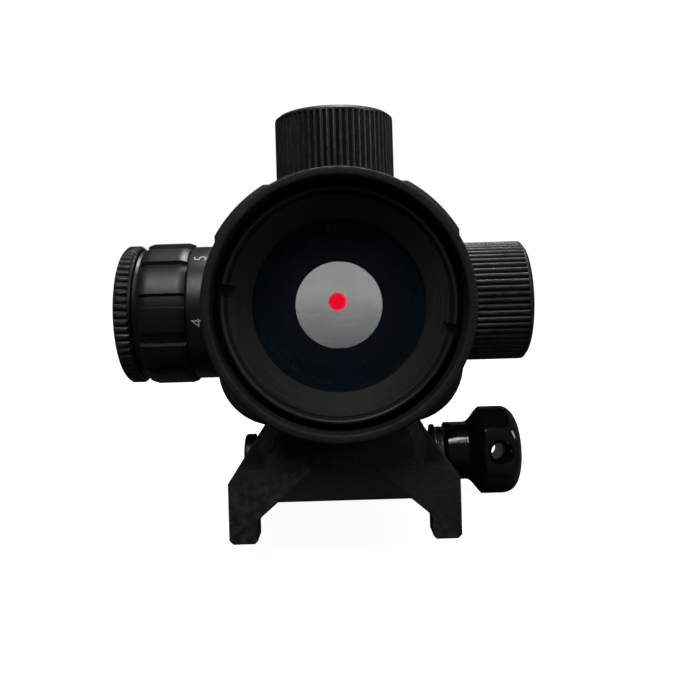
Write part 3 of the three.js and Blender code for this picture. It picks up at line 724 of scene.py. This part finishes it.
def build_reflector():
    for node in ("reflector_lens_rear", "reflector_lens_front"):
        lens = turned(node.replace("lens", "element"), lens_outline(node), closed=False, sides=ROUND)
        place(lens, reflector_glass if node.endswith("rear") else lens_glass, node)
    low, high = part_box("reflector_retaining_ring")
    outer = (high.z - low.z) / 2
    ring = turned("front_lens_ring", filleted([
        (CLEAR, low.y, 0), (outer, low.y, 0), (outer, high.y, 0.15 * MM),
        (11.6 * MM, high.y, 0.15 * MM),
    ]))
    place(ring, ring_black, "reflector_retaining_ring")


DOT_RADIUS = 2.5 * MM
DOT_CORE = 1.75 * MM
DOT_CENTRE = Vector((-0.41 * MM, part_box("reflector_lens_rear")[0].y + 0.4 * MM,
                     AXIS_HEIGHT + 0.89 * MM))


def build_dot():
    """The dot's image, as a thin disc just behind the reflecting face."""
    thickness = 0.02 * MM
    outline = [(0, 0), (DOT_RADIUS, 0), (DOT_RADIUS, thickness), (0, thickness)]
    dot = turned("reflected_dot", outline, ROUND, origin=DOT_CENTRE, closed=False)
    place(dot, dot_finish(DOT_RADIUS, DOT_CORE), "reflector_lens_rear", False, "led_red")


# ---- turrets --------------------------------------------------------------------------

RIDGES = 60


def ridged(count, depth, low, high):
    """Radius rule for straight ridges between two heights, with rounded crests."""
    def radius_at(r, h, angle):
        if not low <= h <= high:
            return r
        wave = 0.5 + 0.5 * math.cos(count * angle)
        return r - depth * (1 - min(1, wave * 1.6))
    return radius_at


def build_turret_cap(prefix, along, axis):
    low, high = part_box(f"{prefix}_cap")
    across = (high.y - low.y) / 2
    origin_height = OPTICAL_AXIS[axis]
    start, end = low[axis] - origin_height, high[axis] - origin_height
    inner, groove = 8.3 * MM, 9.35 * MM
    smooth = 0.9 * MM
    body = [
        (inner, start, 0.1 * MM), (across - 0.5 * MM, start, 0.2 * MM),
        (across - 0.25 * MM, start + 0.5 * MM, 0),
    ]
    outline = filleted(body)
    ridge_start, ridge_end = start + 0.6 * MM, end - smooth
    outline += [(across, ridge_start), (across, ridge_end)]
    outline += filleted([
        (across - 0.02 * MM, ridge_end + 0.05 * MM, 0), (across - 0.05 * MM, end - 0.55 * MM, 0),
        (across - 0.75 * MM, end, 0.2 * MM), (across - 2.2 * MM, end, 0.2 * MM),
        (across - 2.5 * MM, end - 0.25 * MM, 0.15 * MM), (0, end - 0.25 * MM, 0),
    ])
    outline += [(0, end - 1.9 * MM), (inner, end - 1.9 * MM), (inner, start + 1.9 * MM),
                (groove, start + 1.9 * MM), (groove, start + 0.4 * MM), (inner, start + 0.4 * MM)]
    rule = ridged(RIDGES, 0.42 * MM, ridge_start - 1e-6, ridge_end + 1e-6)

    def only_outside(r, h, angle):
        return rule(r, h, angle) if r > across - 0.01 * MM else r

    cap = turned(f"{prefix}_ridged_cap", outline, RIDGES * 8, along,
                 radius_at=only_outside, sharp=40)
    place(cap, ridged_black, f"{prefix}_cap")


def build_turret_insides(prefix, along):
    """The threaded base and the coin-slotted dial under each cap."""
    base = turned(f"{prefix}_threaded_base", filleted([
        (2.5 * MM, 15.2 * MM, 0), (6.6 * MM, 15.2 * MM, 0.3 * MM), (6.6 * MM, 20.1 * MM, 0),
        (7.9 * MM, 20.1 * MM, 0), *thread_corners(7.9 * MM, 22.2 * MM, 24.9 * MM),
        (7.5 * MM, 25.2 * MM, 0), (5 * MM, 25.2 * MM, 0.2 * MM), (5 * MM, 21.4 * MM, 0),
        (2.5 * MM, 21.4 * MM, 0),
    ]), ROUND, along)
    place(base, brass, f"{prefix}_turret_base")
    dial = turned(f"{prefix}_slotted_dial", filleted([
        (2.5 * MM, 21.8 * MM, 0), (4.7 * MM, 21.8 * MM, 0.2 * MM), (4.7 * MM, 26.3 * MM, 0),
        (7.6 * MM, 26.3 * MM, 0.2 * MM), (7.6 * MM, 28.6 * MM, 0.4 * MM), (0, 28.6 * MM, 0),
        (0, 25 * MM, 0), (2.5 * MM, 25 * MM, 0),
    ]), ROUND, along)
    slot = brick((-9 * MM, 27.5 * MM, -0.6 * MM), (9 * MM, 30 * MM, 0.6 * MM))
    slot.data.transform((Matrix.Translation(OPTICAL_AXIS) @ along.to_4x4()))
    place(cut(dial, [slot]), dial_black, f"{prefix}_dial")


def thread_corners(radius, low, high, pitch=0.5 * MM, depth=0.25 * MM):
    """Zigzag corners that read as a fine thread."""
    corners = []
    count = round((high - low) / pitch)
    for i in range(count):
        corners.append((radius, low + i * pitch, 0))
        corners.append((radius - depth, low + (i + 0.5) * pitch, 0))
    return corners


# ---- brightness dial and battery cap --------------------------------------------------

DIAL_LANDS = 12
DIAL_COLLAR = 11.65 * MM  # radius of the numbered collar
GRIP_START = 25.2 * MM  # where the collar ends and the fluted grip begins
FIRST_GROOVE = math.radians(-20)
NUMERAL_STEP = math.radians(60)
FOUR_AT = math.radians(7.9)  # the numeral 4, measured downwards from the side facing the user
NUMERAL_HEIGHT = 2.1 * MM


def dial_direction(angle, radius, x):
    """A point on the dial: angle runs downwards from the side that faces the user."""
    return Vector((x, -radius * math.cos(angle), DIAL_AXIS.z - radius * math.sin(angle)))


def build_dial():
    low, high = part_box("brightness_dial")
    start, rim = -high.x, -low.x
    grip = (high.z - low.z) / 2
    collar = DIAL_COLLAR
    grip_start, grip_end = GRIP_START, 33 * MM
    chamber = 10.5 * MM
    bevel = 0.9 * MM
    outline = filleted([(10 * MM, start, 0.1 * MM), (collar, start, 0.25 * MM),
                        (collar, grip_start - 0.2 * MM, 0.1 * MM),
                        (collar - 0.1 * MM, grip_start, 0)])
    outline += [(collar + 0.1 * MM, grip_start + 0.05 * MM)]
    rows = 10
    for i in range(rows + 1):
        h = grip_start + 0.1 * MM + (grip_end - grip_start - 0.2 * MM) * i / rows
        from_end = min(h - grip_start, grip_end - h)
        drop = 0.35 * MM * max(0, 1 - from_end / bevel) ** 1.5
        outline.append((grip - drop, h))
    outline += filleted([
        (11.4 * MM, grip_end, 0), (11.2 * MM, grip_end + 0.5 * MM, 0), (11.4 * MM, rim, 0.1 * MM),
        (chamber, rim, 0.1 * MM),
    ])
    outline += [(chamber, 26.4 * MM), (2 * MM, 26.4 * MM), (2 * MM, 24.9 * MM), (10 * MM, 24.9 * MM)]
    half_groove = math.radians(4.4)

    def fluted(r, h, angle):
        if r < collar + 0.05 * MM:
            return r
        # angle 0 is +Z here; the first groove is measured from -Y.
        turn = (angle + math.pi / 2 - FIRST_GROOVE) * DIAL_LANDS / (2 * math.pi)
        away = abs(turn - round(turn)) * 2 * math.pi / DIAL_LANDS
        wall = min(1, max(0, (away - half_groove) / math.radians(1.2)))
        return r - 0.62 * MM * (1 - wall)

    dial = turned("fluted_dial", outline, DIAL_LANDS * 48, ALONG_MINUS_X, DIAL_AXIS,
                  radius_at=fluted, sharp=30)
    place(dial, dial_black, "brightness_dial")


def numeral_mesh(text, height):
    curve = bpy.data.curves.new("numeral", "FONT")
    curve.body = text
    curve.align_x = "CENTER"
    curve.align_y = "CENTER"
    curve.size = height * 1.45
    curve.extrude = 0.02 * MM
    curve.offset = -0.03 * MM
    letter = bpy.data.objects.new("numeral", curve)
    bpy.context.scene.collection.objects.link(letter)
    bpy.context.view_layer.update()
    graph = bpy.context.evaluated_depsgraph_get()
    mesh = bpy.data.meshes.new_from_object(letter.evaluated_get(graph))
    bpy.data.objects.remove(letter)
    return mesh


def build_numerals():
    """The brightness steps 0 to 5, tops outwards, wrapped on to the collar."""
    collar = DIAL_COLLAR
    centre_x = (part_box("brightness_dial")[1].x - GRIP_START) / 2 - 0.35 * MM
    for value in range(6):
        mesh = numeral_mesh(str(value), NUMERAL_HEIGHT)
        middle_angle = FOUR_AT + (4 - value) * NUMERAL_STEP
        for vertex in mesh.vertices:
            across, up, out = vertex.co
            vertex.co = dial_direction(middle_angle - across / collar, collar + out, centre_x - up)
        vertices = [vertex.co.copy() for vertex in mesh.vertices]
        piece = mesh_object(f"numeral_{value}", vertices, [tuple(f.vertices) for f in mesh.polygons])
        place(piece, numeral_paint, "brightness_dial", False)


def build_battery_cap():
    low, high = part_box("battery_cap")
    across = (high.z - low.z) / 2
    end, plug_start = -low.x, -high.x
    face = 34.3 * MM
    plug, hollow = 10.2 * MM, 8.4 * MM
    ridge_low, ridge_high = face + 0.5 * MM, end - 0.75 * MM
    outline = [(hollow, plug_start), (plug, plug_start), (plug, 33 * MM), (9.5 * MM, 33 * MM),
               (9.5 * MM, face), (across - 0.5 * MM, face), (across - 0.3 * MM, face + 0.3 * MM),
               (across, ridge_low), (across, ridge_high)]
    outline += filleted([
        (across - 0.3 * MM, end - 0.4 * MM, 0), (across - 0.8 * MM, end, 0.3 * MM),
        (across - 2.6 * MM, end, 0.2 * MM), (across - 2.9 * MM, end - 0.3 * MM, 0.2 * MM),
        (0, end - 0.3 * MM, 0),
    ])
    outline += [(0, face + 0.4 * MM), (hollow, face + 0.4 * MM)]
    rule = ridged(RIDGES, 0.5 * MM, ridge_low - 1e-6, ridge_high + 1e-6)

    def only_outside(r, h, angle):
        return rule(r, h, angle) if r > across - 0.01 * MM else r

    cap = turned("ridged_battery_cap", outline, RIDGES * 8, ALONG_MINUS_X, DIAL_AXIS,
                 radius_at=only_outside, sharp=40)
    slot = brick((low.x - MM, -7.5 * MM, -0.8 * MM), (low.x + 1.2 * MM, 7.5 * MM, 0.8 * MM),
                 origin=DIAL_AXIS)
    place(cut(cap, [slot], sharp=40), ridged_black, "battery_cap")


# ---- base and clamp -------------------------------------------------------------------

def build_base():
    place(softened_copy("rail_base", "cast_base", 0.35 * MM), cast_black, "rail_base")
    place(softened_copy("clamp_jaw", "cast_jaw", 0.3 * MM), cast_black, "clamp_jaw")
    place(softened_copy("led_mount", "emitter_carrier", 0.15 * MM), plastic, "led_mount")


def build_washers():
    for node in ("flat_washer", "lock_washer"):
        low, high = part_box(node)
        outer = (high.z - low.z) / 2
        hole = 2.3 * MM
        ring = turned(f"{node}_ring", filleted([
            (hole, low.x, 0.08 * MM), (outer, low.x, 0.12 * MM),
            (outer, high.x, 0.12 * MM), (hole, high.x, 0.08 * MM),
        ]), ROUND, ALONG_X, CLAMP_AXIS)
        if node == "lock_washer":
            split = brick((low.x - MM, -0.35 * MM, MM), (high.x + MM, 0.35 * MM, 5 * MM),
                          Matrix.Rotation(math.radians(25), 3, "X"), CLAMP_AXIS)
            cut(ring, [split])
        place(ring, bright_steel, node)


def build_bolt():
    low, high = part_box("clamp_bolt")
    head = size("clamp_bolt").z / 2
    under = -15.05 * MM
    shank = 2 * MM
    tip = high.x
    outline = filleted([
        (0, low.x, 0), (head, low.x, 0.5 * MM), (head, under, 0.1 * MM), (shank, under, 0),
        *thread_corners(shank, 10 * MM, tip - 0.6 * MM, 0.7 * MM, 0.2 * MM),
        (shank - 0.5 * MM, tip, 0), (0, tip, 0),
    ])
    bolt = turned("clamp_screw", outline, ROUND, ALONG_X, CLAMP_AXIS, closed=False)
    socket = rod(1.5 * MM, low.x - MM, low.x + 1.3 * MM, ALONG_X, CLAMP_AXIS, 6)
    place(cut(bolt, [socket]), black_steel, "clamp_bolt")


NUT_FLAT_ANGLE = math.radians(-6)  # one flat looks at the user, turned down by this much


def build_nut():
    low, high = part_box("thumb_nut")
    start, end = low.x, high.x
    collar, head = 4.9 * MM, 7.5 * MM
    flats = 13.7 * MM / 2
    bore = 2.3 * MM
    bore_end = 23.5 * MM
    flare_start, flare_end = start + 3.5 * MM, start + 6.2 * MM
    outline = filleted([(bore, start, 0), (collar, start, 0.3 * MM), (collar, flare_start, 0)])
    rows = 12
    for i in range(1, rows + 1):
        t = i / rows
        outline.append((collar + (head - collar) * t * t * (3 - 2 * t) ** 0.5,
                        flare_start + (flare_end - flare_start) * t))
    dome = end - 3.0 * MM
    for i in range(6):
        outline.append((head, flare_end + 0.1 * MM + (dome - flare_end) * i / 6))
    for i in range(rows + 1):
        angle = math.radians(90 * i / rows)
        outline.append((head * max(0, math.cos(angle)) ** 0.62, dome + (end - dome) * math.sin(angle)))
    outline += [(0, bore_end), (bore, bore_end)]

    def hexagonal(r, h, angle):
        if r < collar or h < flare_start:
            return r
        # angle 0 is +Z; the flat's middle is found from -Y, which is +X before the turn.
        off = (angle - math.pi / 2 - NUT_FLAT_ANGLE) % (math.pi / 3)
        off = min(off, math.pi / 3 - off)
        flat = flats / math.cos(off)
        sharpness = 26
        return (r ** -sharpness + flat ** -sharpness) ** (-1 / sharpness)

    nut = turned("thumb_nut_body", outline, 288, ALONG_X, CLAMP_AXIS,
                 radius_at=hexagonal, sharp=50)
    hole_x = 26 * MM
    turn = Matrix.Rotation(NUT_FLAT_ANGLE, 3, "X")
    hole_origin = CLAMP_AXIS + Vector((hole_x, 0, 0))
    radius, mouth = 1.5 * MM, 2.5 * MM  # the cross hole and its countersinks
    waist, brim = 6.2 * MM, 7.2 * MM
    hole = turned("tool", [
        (0, -head - MM), (mouth, -head - MM), (mouth, -brim), (radius, -waist),
        (radius, waist), (mouth, brim), (mouth, head + MM), (0, head + MM),
    ], ROUND, turn, hole_origin, closed=False)
    place(cut(nut, [hole], sharp=45), enamel, "thumb_nut")


def build_base_screws():
    for node in ("base_screw_1", "base_screw_2"):
        low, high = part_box(node)
        origin = Vector((0, middle(node).y, 0))
        head = (high.y - low.y) / 2
        under = low.z + 2.4 * MM
        screw = turned(f"{node}_socket_head", filleted([
            (0, low.z, 0), (head, low.z, 0.3 * MM), (head, under, 0.1 * MM),
            (1.5 * MM, under, 0), (1.5 * MM, high.z - 0.4 * MM, 0), (1.1 * MM, high.z, 0),
            (0, high.z, 0),
        ]), ROUND, ALONG_Z, origin, closed=False)
        socket = rod(1.45 * MM, low.z - MM, low.z + 1.4 * MM, ALONG_Z, origin, 6)
        place(cut(screw, [socket]), black_steel, node)


build_ocular_housing()
build_retaining_ring()
build_window()
build_main_body()
build_objective_housing()
build_inner_tube()
build_reflector()
build_dot()
build_turret_cap("elevation", ALONG_Z, 2)
build_turret_cap("windage", ALONG_X, 0)
build_turret_insides("elevation", ALONG_Z)
build_turret_insides("windage", ALONG_X)
build_dial()
build_numerals()
build_battery_cap()
build_base()
build_washers()
build_bolt()
build_nut()
build_base_screws()
